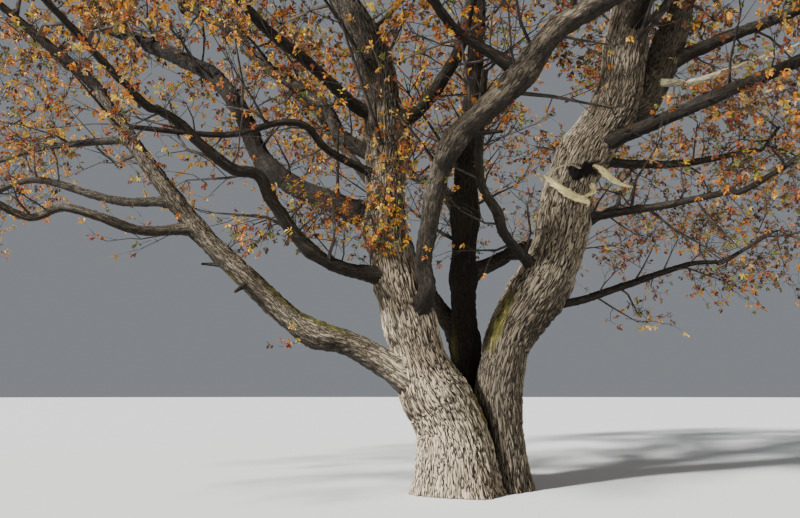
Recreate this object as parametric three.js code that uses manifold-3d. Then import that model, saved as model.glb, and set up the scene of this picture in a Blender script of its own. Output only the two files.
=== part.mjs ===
// An old open-grown oak in late autumn. Three stems part just above the ground, and each carries boughs
// that end in masses of leaves. Millimetres, +Z up; the flat cut under the trunk lies at z = 0.
import * as THREE from 'three';
import { mergeVertices } from 'three/addons/utils/BufferGeometryUtils.js';
import Module from 'manifold-3d';

const wasm = await Module();
wasm.setup();

const metre = 1000;
const degrees = Math.PI / 180;
const gap = 0.3;                      // clearance between pieces that touch

const barkFinish = { color: 0x83705c, roughness: 0.95, metalness: 0 };
const tornFinish = { color: 0xc9b08a, roughness: 0.85, metalness: 0 };
const leafTints = [0x9a5424, 0xb5702a, 0xc48a3a, 0x7d4a24, 0xa8802f];
const leafRoughness = 0.7;

// A run is one straight stretch of a limb's line: its length in metres, its bearing in degrees (0 along
// +X, 90 along +Y, away from the viewer) and its rise above level in degrees. Girths are radii in metres,
// evenly spaced from a limb's root to its tip. A branch leaves its parent at a share of the parent's length.
const stems = {
  left: {
    foot: [-0.24, -0.09, -0.28],
    runs: [
      [1.1, 203, 86], [0.55, 190, 71], [0.75, 188, 62], [2.25, 187, 74], [0.75, 195, 89], [1.3, 96, 84],
      [1.8, 141, 78], [1.7, 164, 65], [1.3, 162, 76], [1.6, 154, 82],
    ],
    girths: [0.7, 0.57, 0.42, 0.39, 0.32, 0.33, 0.33, 0.3, 0.24, 0.17, 0.12],
    trunkShare: 0.22,
    leaderShare: 0.5,
  },
  right: {
    foot: [0.57, 0.23, -0.33],
    runs: [
      [1.7, 205, 86], [0.8, -13, 80], [0.45, -4, 72], [1.45, -2, 59], [1.5, 3, 73], [0.75, 8, 65],
      [1.15, 2, 57], [1.45, -26, 76], [0.8, -21, 80], [1.05, -44, 82], [1.4, 2, 87],
    ],
    girths: [0.47, 0.39, 0.39, 0.48, 0.45, 0.45, 0.38, 0.38, 0.35, 0.27, 0.15],
    trunkShare: 0.19,
    leaderShare: 0.57,
  },
  back: {
    foot: [0.14, 0.54, -0.38],
    runs: [[1.95, 143, 86], [1.4, 121, 84], [3.3, 67, 81], [3.35, 52, 80], [1.45, 72, 81]],
    girths: [0.37, 0.27, 0.22, 0.25, 0.19, 0.17, 0.13],
    trunkShare: 0.2,
    leaderShare: 1,
  },
};

const branches = {
  low_left: {
    parent: 'left', at: 0.15,
    runs: [[1.5, 190, 29], [1, 192, 20], [2.15, 198, 41], [1.45, 194, 51], [1.5, 180, 53]],
    girths: [0.25, 0.21, 0.2, 0.18, 0.16, 0.13, 0.115, 0.1],
    snags: [{ at: 0.52, run: [0.5, 182, 2], girth: 0.04 }, { at: 0.47, run: [0.45, 250, -30], girth: 0.045 }],
  },
  left_lower: {
    parent: 'low_left', at: 0.63,
    runs: [[0.8, 208, -11], [0.6, 222, 9], [0.55, 201, 10], [0.45, 196, -23], [0.55, 230, 14]],
    girths: [0.085, 0.075, 0.06, 0.05],
  },
  left_middle: {
    parent: 'low_left', at: 0.7,
    runs: [[1.25, 161, 7], [1.7, 166, 17], [1.2, 156, -4]],
    girths: [0.08, 0.07, 0.06, 0.045],
  },
  left_upper: {
    parent: 'low_left', at: 0.87,
    runs: [[2.7, 148, 9], [2, 147, 3]],
    girths: [0.065, 0.06, 0.05, 0.04],
  },
  high_left: {
    parent: 'left', at: 0.38,
    runs: [[2.55, 159, 28], [1.75, 162, 59], [0.8, 156, 51], [0.8, 161, 41], [3.1, 163, 29]],
    girths: [0.2, 0.19, 0.18, 0.17, 0.16, 0.15, 0.12],
  },
  slim_left: {
    parent: 'left', at: 0.44,
    runs: [[1.2, 214, 15], [0.55, 220, 34], [0.45, 209, -3], [0.95, 207, -24], [1.35, 207, -6]],
    girths: [0.075, 0.065, 0.055, 0.045, 0.035],
  },
  back_left_high: {
    parent: 'left', at: 0.47,
    runs: [[1.2, 149, 34], [0.85, 155, 57], [2.15, 162, 41], [0.85, 158, 51], [1.5, 161, 36]],
    girths: [0.14, 0.12, 0.11, 0.09],
  },
  front_left_high: {
    parent: 'left', at: 0.55,
    runs: [[0.5, 205, -4], [1.1, 218, 27], [1.1, 223, 19], [0.85, 239, 20]],
    girths: [0.11, 0.1, 0.09, 0.07],
  },
  front_left: {
    parent: 'left', at: 0.3,
    runs: [
      [1.45, 212, 9], [1.1, 222, 38], [0.55, 221, 54], [0.45, 221, 1], [0.6, 229, 23], [0.35, 218, 36],
      [0.4, 231, 13],
    ],
    girths: [0.13, 0.11, 0.1, 0.08, 0.06],
  },
  inner_leader: {
    parent: 'left', at: 0.52,
    runs: [[0.7, -16, 26], [0.85, -38, 40], [0.5, -50, 49], [1.25, -64, 60]],
    girths: [0.14, 0.12, 0.11, 0.1, 0.08],
  },
  front_arm: {
    parent: 'left', at: 0.24,
    runs: [
      [0.75, -62, 41], [0.55, 258, 68], [1.25, -66, 66], [0.5, -53, 59], [0.5, -28, 47], [0.95, -27, 35],
      [0.85, -37, 42], [0.55, -38, 20], [1.05, -42, 7], [0.6, -63, 19],
    ],
    girths: [0.15, 0.14, 0.14, 0.15, 0.165, 0.18, 0.19, 0.19, 0.17, 0.15, 0.13, 0.11],
    snags: [{ at: 0.44, run: [0.5, -35, -15], girth: 0.06 }],
  },
  front_arm_branch: {
    parent: 'front_arm', at: 0.62,
    runs: [[0.8, 190, 30], [0.5, 206, 23], [1, 236, 18], [0.75, 253, 15]],
    girths: [0.09, 0.075, 0.065, 0.05],
  },
  crossing_limb: {
    parent: 'right', at: 0.33,
    runs: [[1.2, 223, 28], [0.5, 237, 46], [0.7, 213, 59], [1.65, -90, 57]],
    girths: [0.1, 0.085, 0.075, 0.07, 0.05],
  },
  left_front_high: {
    parent: 'left', at: 0.8,
    runs: [[1.5, 263, 34], [1.7, 247, 28]],
    girths: [0.13, 0.1, 0.07],
  },
  back_left: {
    parent: 'back', at: 0.25,
    runs: [[1.85, 135, 51], [2.2, 122, 55], [3.7, 137, 50]],
    girths: [0.17, 0.16, 0.15, 0.13, 0.11, 0.08],
  },
  back_low_right: {
    parent: 'back', at: 0.36,
    runs: [[2.35, 46, 24], [2.35, 43, 20], [2, 42, 27]],
    girths: [0.16, 0.13, 0.1, 0.07],
  },
  back_middle: {
    parent: 'back', at: 0.47,
    runs: [[2.15, 105, 36], [1.85, 108, 26], [1.7, 94, 35]],
    girths: [0.16, 0.13, 0.1, 0.07],
  },
  far_right_leader: {
    parent: 'right', at: 0.61,
    runs: [[1.2, 18, 37], [3.8, 23, 62]],
    girths: [0.31, 0.31, 0.3, 0.27, 0.2, 0.13],
  },
  right_low: {
    parent: 'right', at: 0.3,
    runs: [[0.75, 14, -6], [2.7, 20, 18], [0.95, 20, 10]],
    girths: [0.075, 0.07, 0.06, 0.04],
  },
  right_middle: {
    parent: 'right', at: 0.42,
    runs: [[0.8, -24, 3], [1.05, -49, -4], [1.15, -59, -4]],
    girths: [0.08, 0.075, 0.06, 0.045],
  },
  right_high: {
    parent: 'right', at: 0.52,
    runs: [[2.9, 30, 10], [3.05, 29, 17]],
    girths: [0.1, 0.085, 0.07, 0.05],
  },
  right_front: {
    parent: 'right', at: 0.54,
    runs: [[2.4, -36, 11], [1.75, -40, 11], [1.5, -36, 23]],
    girths: [0.14, 0.11, 0.09, 0.06],
  },
  right_front_high: {
    parent: 'right', at: 0.73,
    runs: [[2.05, -82, 29], [1.65, -75, 22], [1.45, -80, 33]],
    girths: [0.15, 0.12, 0.1, 0.07],
  },
  dead_limb: {
    parent: 'far_right_leader', at: 0.28,
    runs: [[0.95, -80, -28], [0.4, -53, -15], [1.8, -46, 1]],
    girths: [0.075, 0.07, 0.05, 0.035, 0.015],
  },
  far_right_low: {
    parent: 'far_right_leader', at: 0.37,
    runs: [[1.55, -5, 23], [1.3, -23, 13], [1.2, -17, 29]],
    girths: [0.14, 0.12, 0.1, 0.07],
  },
  right_back_high: {
    parent: 'far_right_leader', at: 0.51,
    runs: [[1.95, 80, 18], [1.7, 75, 31]],
    girths: [0.15, 0.12, 0.08],
  },
};

// A mass of leaves fills a space of its own round its heart. Its lead is the run from the limb's tip to
// the heart, and its reach is how far, in metres, twigs and leaves go from the heart.
const masses = {
  low_left: { lead: [2.4, 208, 37], reach: 2.6 },
  left_lower: { lead: [1.8, 212, 23], reach: 2.2 },
  left_middle: { lead: [1.0, 186, 4], reach: 1.9 },
  left_upper: { lead: [1.5, 122, 50], reach: 2.3 },
  high_left: { lead: [1.1, 150, 58], reach: 2.6 },
  back_left_high: { lead: [2.2, 179, 80], reach: 2.6 },
  front_left_high: { lead: [2.3, 226, 37], reach: 2.6 },
  front_left: { lead: [2.0, 234, 28], reach: 2.3 },
  left: { lead: [2.4, 156, 84], reach: 2.8 },
  left_front_high: { lead: [1.9, 247, 39], reach: 2.6 },
  inner_leader: { lead: [2.5, -72, 68], reach: 2.6 },
  front_arm: { lead: [2.2, -54, 27], reach: 2.6 },
  front_arm_branch: { lead: [2.1, 258, 34], reach: 2.6 },
  back: { lead: [2.9, 230, 87], reach: 2.8 },
  back_left: { lead: [2.1, 133, 41], reach: 2.9 },
  right: { lead: [2.8, -31, 82], reach: 2.9 },
  far_right_leader: { lead: [2.4, 21, 61], reach: 2.7 },
  right_low: { lead: [1.7, 16, 26], reach: 2.2 },
  right_middle: { lead: [1.8, -39, 23], reach: 2.1 },
  right_high: { lead: [1.3, 27, 37], reach: 2.6 },
  back_low_right: { lead: [1.3, 56, 36], reach: 2.8 },
  back_middle: { lead: [2.0, 84, 63], reach: 3.0 },
  right_front_high: { lead: [1.5, -54, 70], reach: 2.6 },
  right_back_high: { lead: [1.6, 85, 52], reach: 2.8 },
  far_right_low: { lead: [1.2, -14, 47], reach: 2.6 },
  right_front: { lead: [1.4, -39, 22], reach: 2.5 },
};

// Splinters of a torn-off bough on the right stem: where each starts, its runs and its girths as above.
const splinters = {
  torn_wood_low: {
    start: [2.14, -0.14, 4.86],
    runs: [[0.45, 212, 16], [0.5, 206, 24]],
    girths: [0.1, 0.11, 0.09, 0.02],
  },
  torn_wood_high: {
    start: [2.36, 0, 5.56],
    runs: [[0.3, -42, -40], [0.5, -35, -24]],
    girths: [0.07, 0.08, 0.04, 0.012],
  },
};
const splinterFlatness = 0.4;
const splinterSteps = 5;

// Flares where the roots leave the trunk: the stem they belong to, their bearing, and how far in metres
// they run past its side at the ground.
const rootFlares = [
  { stem: 'left', bearing: 205, past: 0.1 },
  { stem: 'left', bearing: 262, past: 0.16 },
  { stem: 'left', bearing: 140, past: 0.12 },
  { stem: 'right', bearing: -72, past: 0.14 },
  { stem: 'right', bearing: 8, past: 0.1 },
  { stem: 'back', bearing: 75, past: 0.16 },
];

// A flare comes down a stem's side: its way out as a share of the stem's radius, and its height in metres.
const flareProfile = [[0.3, 0.75], [0.62, 0.465], [0.88, 0.18]];
const flareDepth = 0.12;              // metres that a flare goes on below the ground before the flat cut
const flareGirths = [0.16, 0.22, 0.2, 0.13];

const stemSides = 12;
const boughSides = 7;
const thinSides = 6;
const thinGirth = 0.1;                // a branch this thick or less at its root has thinSides
const ringSpacing = 0.85;             // metres between a limb's rings
const flareSteps = 3;
const snagSteps = 2;
const snagTaper = 0.6;                // a snag's broken end is this much of its root's radius

const crownFlatness = 0.8;            // a mass is this much lower than it is wide
const massClearance = 0.06;           // metres that masses keep from each other
const limbClearance = 0.01;           // metres that twigs and leaves keep from limbs
const leadSides = 4;
const leadSteps = 3;
const leadBend = 0.12;                // share of the reach where a mass's stem has left its limb's line
const leadGirths = [0.95, 0.75];      // of its limb's end radius: a mass's stem at its start and bend
const twigsPerMass = 8;
const spreadSteps = [0.8191725134, 0.6710436067, 0.5497004779];   // even spread of twigs in three ways
const twigReach = [0.35, 0.7];        // least and greatest distance of a twig's end, as shares of the reach
const stemKnots = [0.4, 0.55, 0.7, 0.85, 0.96];   // where twigs may leave a mass's stem, one at each
const twigKnots = [0.3, 0.6];         // and where later twigs may leave a twig
const stemTip = 0.045;                // metres, radius of a mass's stem at its heart
const stemHold = 0.8;                 // a twig's radius is at most this much of the stem's where it leaves
const twigHold = 0.6;                 // and this much of the twig's that it leaves
const twigRoot = 0.045;               // metres, the most radius that a twig has
const twigWidest = 0.1;               // a twig is thickest at this share of its length
const twigSides = 3;
const leafSides = 4;
const leafShares = [0.4, 0.75];       // where blades leave a twig
const leafLength = 1.4;
const leafWidth = 0.9;
const leafThickness = 0.035;
const leafWidest = 0.45;              // where a blade is widest, as a share of its length
const leafSizes = [0.75, 1.1];        // the blades' least and greatest size
const leafSplay = 40;                 // degrees between a blade and its twig
const leafReach = 1.2;                // blades may go this much beyond a mass's reach
const bladeClearance = 0.02;          // metres that a blade keeps from the twigs and blades beside it
const leafAttempts = 6;               // draws for each blade before it is left out
const turnSeed = 21;                  // added to a mass's seed for the blades' turns
const sizeSeed = 41;                  // and for their sizes

// A repeatable scatter between 0 and 1 for a count and a seed.
function scatter(count, seed) {
  const wave = Math.sin(count * 12.9898 + seed * 78.233) * 43758.5453;
  return wave - Math.floor(wave);
}

function runVector([length, bearing, rise]) {
  const level = length * metre * Math.cos(rise * degrees);
  return new THREE.Vector3(
    level * Math.cos(bearing * degrees),
    level * Math.sin(bearing * degrees),
    length * metre * Math.sin(rise * degrees),
  );
}

function curveThrough(points) {
  return new THREE.CatmullRomCurve3(points, false, 'catmullrom', 0.5);
}

// The smooth line that follows a chain of runs from its start.
function lineOfRuns(start, runs) {
  const points = [start];
  for (const run of runs) {
    points.push(points.at(-1).clone().add(runVector(run)));
  }
  return curveThrough(points);
}

// The radius at a share of a limb's length, from girths that are evenly spaced.
function girthAt(girths, share) {
  const place = share * (girths.length - 1);
  const before = Math.min(Math.floor(place), girths.length - 2);
  return metre * THREE.MathUtils.lerp(girths[before], girths[before + 1], place - before);
}

function toSolid(geometry) {
  geometry.deleteAttribute('normal');
  geometry.deleteAttribute('uv');
  const merged = mergeVertices(geometry);
  return new wasm.Manifold(new wasm.Mesh({
    numProp: 3,
    vertProperties: new Float32Array(merged.attributes.position.array),
    triVerts: new Uint32Array(merged.index.array),
  }));
}

// A closed, tapering tube along a line. The cylinder's rings are laid square to the line.
function tube(line, girths, sides, steps, swell = 0, flatness = 1) {
  const geometry = new THREE.CylinderGeometry(1, 1, 1, sides, steps);
  const frames = line.computeFrenetFrames(steps, false);
  const position = geometry.attributes.position;
  for (let i = 0; i < position.count; i++) {
    const step = Math.round((position.getY(i) + 0.5) * steps);
    const radius = girthAt(girths, step / steps) + swell;
    const point = line.getPointAt(step / steps);
    point.addScaledVector(frames.binormals[step], position.getX(i) * radius);
    point.addScaledVector(frames.normals[step], position.getZ(i) * radius * flatness);
    position.setXYZ(i, point.x, point.y, point.z);
  }
  return toSolid(geometry);
}

function ringCount(line) {
  return Math.max(2, Math.round(line.getLength() / (ringSpacing * metre)));
}

// What is left of a solid once its loose scraps and sealed hollows are gone.
function largestPiece(solid) {
  const pieces = solid.decompose();
  return pieces.reduce((best, piece) => (piece.volume() > best.volume() ? piece : best));
}

// The plane square to a line at a share of its length, as manifold-3d trims by it.
function crossPlane(line, share) {
  const normal = line.getTangentAt(share);
  return { normal: normal.toArray(), offset: normal.dot(line.getPointAt(share)) };
}

function keepBefore(solid, line, share) {
  const { normal, offset } = crossPlane(line, share);
  return solid.trimByPlane(normal.map((value) => -value), -offset);
}

function keepAfter(solid, line, share) {
  const { normal, offset } = crossPlane(line, share);
  return solid.trimByPlane(normal, offset + gap);
}

// Every limb as its line, its girths and its full-length solid, with the same solid swollen by the gap.
const limbs = {};

function addLimb(name, start, runs, girths, sides) {
  const line = lineOfRuns(start, runs);
  const steps = ringCount(line);
  const solid = tube(line, girths, sides, steps);
  const cutter = tube(line, girths, sides, steps, gap);
  limbs[name] = { line, girths, solid, cutter };
}

for (const [name, stem] of Object.entries(stems)) {
  addLimb(name, new THREE.Vector3(...stem.foot).multiplyScalar(metre), stem.runs, stem.girths, stemSides);
}

for (const [name, branch] of Object.entries(branches)) {
  const start = limbs[branch.parent].line.getPointAt(branch.at);
  const sides = branch.girths[0] > thinGirth ? boughSides : thinSides;
  addLimb(name, start, branch.runs, branch.girths, sides);
}

function snagSolid(line, { at, run, girth }) {
  const snagLine = lineOfRuns(line.getPointAt(at), [run]);
  return tube(snagLine, [girth, girth * snagTaper], thinSides, snagSteps);
}

for (const [name, { snags = [] }] of Object.entries(branches)) {
  for (const snag of snags) {
    limbs[name].solid = limbs[name].solid.add(snagSolid(limbs[name].line, snag));
  }
}

// The trunk: the foot of every stem up to its cut, and the root flares, cut flat at the ground.
function rootFlareSolid({ stem, bearing, past }, swell) {
  const { foot, girths } = stems[stem];
  const outwards = runVector([1, bearing, 0]).divideScalar(metre);
  const side = girths[0];
  const centre = new THREE.Vector3(foot[0], foot[1], 0);
  const profile = [...flareProfile, [1 + past / side, -flareDepth]];
  const points = profile.map(([out, height]) => {
    const point = centre.clone().addScaledVector(outwards, out * side);
    return point.setZ(height).multiplyScalar(metre);
  });
  return tube(curveThrough(points), flareGirths, boughSides, flareSteps, swell);
}

function trunkSolid(swell) {
  let trunk = null;
  for (const [name, { trunkShare }] of Object.entries(stems)) {
    const full = swell > 0 ? limbs[name].cutter : limbs[name].solid;
    const foot = keepBefore(full, limbs[name].line, trunkShare);
    trunk = trunk ? trunk.add(foot) : foot;
  }
  for (const flare of rootFlares) {
    trunk = trunk.add(rootFlareSolid(flare, swell));
  }
  return largestPiece(trunk.trimByPlane([0, 0, 1], 0));
}

const solids = {};
solids.trunk = trunkSolid(0);
const trunkCutter = trunkSolid(gap);

for (const [name, { trunkShare, leaderShare }] of Object.entries(stems)) {
  const { line, solid } = limbs[name];
  const aboveTrunk = keepAfter(solid, line, trunkShare).subtract(trunkCutter);
  if (leaderShare < 1) {
    solids[`${name}_stem`] = largestPiece(keepBefore(aboveTrunk, line, leaderShare));
    solids[`${name}_leader`] = largestPiece(keepAfter(aboveTrunk, line, leaderShare));
  } else {
    solids[`${name}_stem`] = largestPiece(aboveTrunk);
  }
}

// A bough is cut clear of the trunk, the stems and every bough before it.
const cutters = [trunkCutter, ...Object.keys(stems).map((name) => limbs[name].cutter)];
for (const name of Object.keys(branches)) {
  let bough = limbs[name].solid;
  for (const cutter of cutters) {
    bough = bough.subtract(cutter);
  }
  solids[`${name}_bough`] = largestPiece(bough);
  cutters.push(limbs[name].cutter);
}

for (const [name, { start, runs, girths }] of Object.entries(splinters)) {
  const line = lineOfRuns(new THREE.Vector3(...start).multiplyScalar(metre), runs);
  const splinter = tube(line, girths, boughSides, splinterSteps, 0, splinterFlatness);
  solids[name] = largestPiece(splinter.subtract(limbs.right.cutter));
}

// A value that is nothing on the edge of a mass's reach, grows outwards and falls below nothing inwards.
// The space of a mass is where its own value is the lowest of all.
function reachValue({ heart, reach }, point) {
  const level = (point.x - heart.x) ** 2 + (point.y - heart.y) ** 2;
  const upright = ((point.z - heart.z) / crownFlatness) ** 2;
  return level + upright - (reach * metre) ** 2;
}

// Whether a point lies in a mass's own space, its reach stretched by a factor.
function isInside(own, point, stretch) {
  const value = reachValue(own, point);
  if (value > (stretch ** 2 - 1) * (own.reach * metre) ** 2) return false;
  return hearts.every((other) => {
    if (other === own) return true;
    const apart = own.heart.distanceTo(other.heart);
    return (reachValue(other, point) - value) / (2 * apart) > massClearance * metre;
  });
}

const hearts = Object.entries(masses).map(([name, { lead, reach }]) => {
  const { line, girths } = limbs[name];
  const tip = line.getPointAt(1);
  const tangent = line.getTangentAt(1);
  const heart = tip.clone().add(runVector(lead));
  const bend = tip.clone().addScaledVector(tangent, leadBend * reach * metre);
  const stemStart = tip.clone().addScaledVector(tangent, gap);
  const stem = curveThrough([stemStart, bend, heart]);
  const [startGirth, bendGirth] = leadGirths.map((share) => Math.max(girths.at(-1) * share, stemTip));
  const stemGirths = [startGirth, bendGirth, stemTip];
  const stemSolid = tube(stem, stemGirths, leadSides, leadSteps);
  return { name, reach, heart, stem, stemGirths, stemSolid };
});

// The point that a twig grows to.
function targetPoint({ heart, reach }, count, seed) {
  const spread = spreadSteps.map((step, axis) => (scatter(axis, seed) + (count + 1) * step) % 1);
  const [first, second, third] = spread;
  const height = 2 * first - 1;
  const level = Math.sqrt(1 - height * height);
  const distance = reach * metre * THREE.MathUtils.lerp(...twigReach, Math.cbrt(third));
  return new THREE.Vector3(
    heart.x + distance * level * Math.cos(2 * Math.PI * second),
    heart.y + distance * level * Math.sin(2 * Math.PI * second),
    heart.z + distance * height * crownFlatness,
  );
}

// A shape with a point at each end, widest at a share of its length: slim and three-sided it is a twig,
// and wide, thin and four-sided it is a blade, which stands for a spray of leaves.
function spindle({ root, outwards, across, length, sides, widest, halfWidth, halfThickness }) {
  const face = across.clone().cross(outwards);
  const frame = new THREE.Matrix4().makeBasis(across, outwards, face).setPosition(root);
  const geometry = new THREE.SphereGeometry(metre, sides, 2);
  const position = geometry.attributes.position;
  for (let i = 0; i < position.count; i++) {
    const end = Math.round(position.getY(i) / metre);
    const along = end === 0 ? widest : (end + 1) / 2;
    position.setX(i, position.getX(i) * halfWidth);
    position.setY(i, along * length * metre);
    position.setZ(i, position.getZ(i) * halfThickness);
  }
  return geometry.applyMatrix4(frame);
}

// A direction square to another, level before it is turned round it.
function squareTo(direction, turn) {
  return new THREE.Vector3(0, 0, 1).cross(direction).normalize().applyAxisAngle(direction, turn);
}

function join(parts) {
  return wasm.Manifold.union(parts);
}

function isClear(solid, other, clearance) {
  return solid.minGap(other, clearance * metre) >= clearance * metre;
}

function cornersInside(own, geometry) {
  const position = geometry.attributes.position;
  for (let i = 0; i < position.count; i++) {
    if (!isInside(own, new THREE.Vector3().fromBufferAttribute(position, i), leafReach)) return false;
  }
  return true;
}

// The twigs of a mass: each grows from the nearest free knot to its own target.
function growTwigs(own, seed, obstacles) {
  const twigs = [];
  const knots = stemKnots.map((share) => ({
    point: own.stem.getPointAt(share),
    girth: girthAt(own.stemGirths, share) / metre * stemHold,
  }));
  for (let count = 0; count < twigsPerMass; count++) {
    const target = targetPoint(own, count, seed);
    if (!isInside(own, target, 1)) continue;
    const near = (knot) => knot.point.distanceTo(target);
    const from = knots.reduce((best, knot) => (near(knot) < near(best) ? knot : best));
    const root = from.point;
    const outwards = target.clone().sub(root).normalize();
    const length = near(from) / metre;
    const girth = Math.min(from.girth, twigRoot);
    const solid = toSolid(spindle({
      root, outwards, across: squareTo(outwards, 0), length,
      sides: twigSides, widest: twigWidest, halfWidth: girth, halfThickness: girth,
    }));
    if (!isClear(solid, obstacles, limbClearance)) continue;
    twigs.push({ root, outwards, length, solid });
    knots.splice(knots.indexOf(from), 1, ...twigKnots.map((share) => ({
      point: root.clone().lerp(target, share),
      girth: girth * (1 - share) * twigHold,
    })));
  }
  return twigs;
}

// A blade has its root on its twig's line and leans away from it, turned round it by the draw.
function bladeOn({ root, outwards, length }, share, draw, seed) {
  const across = squareTo(outwards, 2 * Math.PI * scatter(draw, seed + turnSeed));
  const leaning = outwards.clone().applyAxisAngle(across, leafSplay * degrees);
  const size = THREE.MathUtils.lerp(...leafSizes, scatter(draw, seed + sizeSeed));
  return spindle({
    root: root.clone().addScaledVector(outwards, length * share * metre),
    outwards: leaning, across, length: leafLength * size,
    sides: leafSides, widest: leafWidest, halfWidth: (leafWidth * size) / 2, halfThickness: leafThickness / 2,
  });
}

function growMass(own, seed) {
  const obstacles = join([
    ...Object.entries(solids).filter(([name]) => !name.endsWith('_leaves')).map(([, solid]) => solid),
    ...hearts.filter((other) => other !== own).map((other) => other.stemSolid),
  ]);
  const twigs = growTwigs(own, seed, obstacles);
  const blades = [];
  twigs.forEach((twig, count) => {
    const otherTwigs = twigs.filter((other) => other !== twig);
    const otherWood = join([own.stemSolid, ...otherTwigs.map((other) => other.solid)]);
    leafShares.forEach((share, place) => {
      for (let attempt = 0; attempt < leafAttempts; attempt++) {
        const draw = (count * leafShares.length + place) * leafAttempts + attempt;
        const geometry = bladeOn(twig, share, draw, seed);
        if (!cornersInside(own, geometry)) continue;
        const blade = toSolid(geometry);
        if (!isClear(blade, obstacles, limbClearance) || !isClear(blade, otherWood, bladeClearance)) continue;
        if (!blades.every((other) => isClear(blade, other, bladeClearance))) continue;
        blades.push(blade);
        break;
      }
    });
  });
  return largestPiece(join([own.stemSolid, ...twigs.map((twig) => twig.solid), ...blades]));
}

hearts.forEach((own, index) => {
  solids[`${own.name}_leaves`] = growMass(own, index + 1);
});

function finishOf(name, index) {
  if (name.endsWith('_leaves')) {
    return { color: leafTints[index % leafTints.length], roughness: leafRoughness, metalness: 0 };
  }
  return name.startsWith('torn_wood') || name.startsWith('dead_limb') ? tornFinish : barkFinish;
}

function toMesh(name, solid, index) {
  const { vertProperties, triVerts } = solid.getMesh();
  const geometry = new THREE.BufferGeometry();
  geometry.setAttribute('position', new THREE.BufferAttribute(vertProperties, 3));
  geometry.setIndex(new THREE.BufferAttribute(triVerts, 1));
  const mesh = new THREE.Mesh(geometry, new THREE.MeshStandardMaterial(finishOf(name, index)));
  mesh.name = name;
  return mesh;
}

const oak = new THREE.Group();
Object.entries(solids).forEach(([name, solid], index) => oak.add(toMesh(name, solid, index)));

export default oak;
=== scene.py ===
import math

import bmesh
import bpy
import numpy as np
from mathutils import Matrix, Vector


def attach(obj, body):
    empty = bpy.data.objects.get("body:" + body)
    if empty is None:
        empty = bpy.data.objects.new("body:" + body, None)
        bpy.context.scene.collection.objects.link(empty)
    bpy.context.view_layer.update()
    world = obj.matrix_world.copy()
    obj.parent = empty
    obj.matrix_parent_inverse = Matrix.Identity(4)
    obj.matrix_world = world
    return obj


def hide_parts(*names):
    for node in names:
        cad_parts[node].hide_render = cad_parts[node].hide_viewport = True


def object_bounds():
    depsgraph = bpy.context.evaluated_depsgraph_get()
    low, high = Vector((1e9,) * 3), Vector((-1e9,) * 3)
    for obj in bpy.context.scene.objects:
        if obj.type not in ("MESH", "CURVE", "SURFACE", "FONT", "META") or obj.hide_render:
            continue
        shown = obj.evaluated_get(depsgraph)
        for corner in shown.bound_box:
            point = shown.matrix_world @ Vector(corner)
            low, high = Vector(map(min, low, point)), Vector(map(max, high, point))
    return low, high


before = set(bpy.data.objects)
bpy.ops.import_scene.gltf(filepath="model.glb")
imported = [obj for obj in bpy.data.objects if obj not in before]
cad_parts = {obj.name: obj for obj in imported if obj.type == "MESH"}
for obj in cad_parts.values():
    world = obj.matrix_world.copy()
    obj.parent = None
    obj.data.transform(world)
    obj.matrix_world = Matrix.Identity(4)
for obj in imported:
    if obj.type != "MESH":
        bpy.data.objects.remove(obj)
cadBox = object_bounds()
print("frame loaded:", len(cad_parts), "nodes")


# A run is one straight stretch of a limb's line: length in metres, bearing in degrees (0 along +X, 90 along
# +Y) and rise above level in degrees. Girths are radii in metres, evenly spaced from root to tip.
stems = {
    "left": {
        "foot": [-0.24, -0.09, -0.28],
        "runs": [
            [1.1, 203, 86], [0.55, 190, 71], [0.75, 188, 62], [2.25, 187, 74], [0.75, 195, 89],
            [1.3, 96, 84], [1.8, 141, 78], [1.7, 164, 65], [1.3, 162, 76], [1.6, 154, 82],
        ],
        "girths": [0.7, 0.57, 0.42, 0.39, 0.32, 0.33, 0.33, 0.3, 0.24, 0.17, 0.12],
    },
    "right": {
        "foot": [0.57, 0.23, -0.33],
        "runs": [
            [1.7, 205, 86], [0.8, -13, 80], [0.45, -4, 72], [1.45, -2, 59], [1.5, 3, 73], [0.75, 8, 65],
            [1.15, 2, 57], [1.45, -26, 76], [0.8, -21, 80], [1.05, -44, 82], [1.4, 2, 87],
        ],
        "girths": [0.47, 0.39, 0.39, 0.48, 0.45, 0.45, 0.38, 0.38, 0.35, 0.27, 0.15],
    },
    "back": {
        "foot": [0.14, 0.54, -0.38],
        "runs": [[1.95, 143, 86], [1.4, 121, 84], [3.3, 67, 81], [3.35, 52, 80], [1.45, 72, 81]],
        "girths": [0.37, 0.27, 0.22, 0.25, 0.19, 0.17, 0.13],
    },
}

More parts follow.
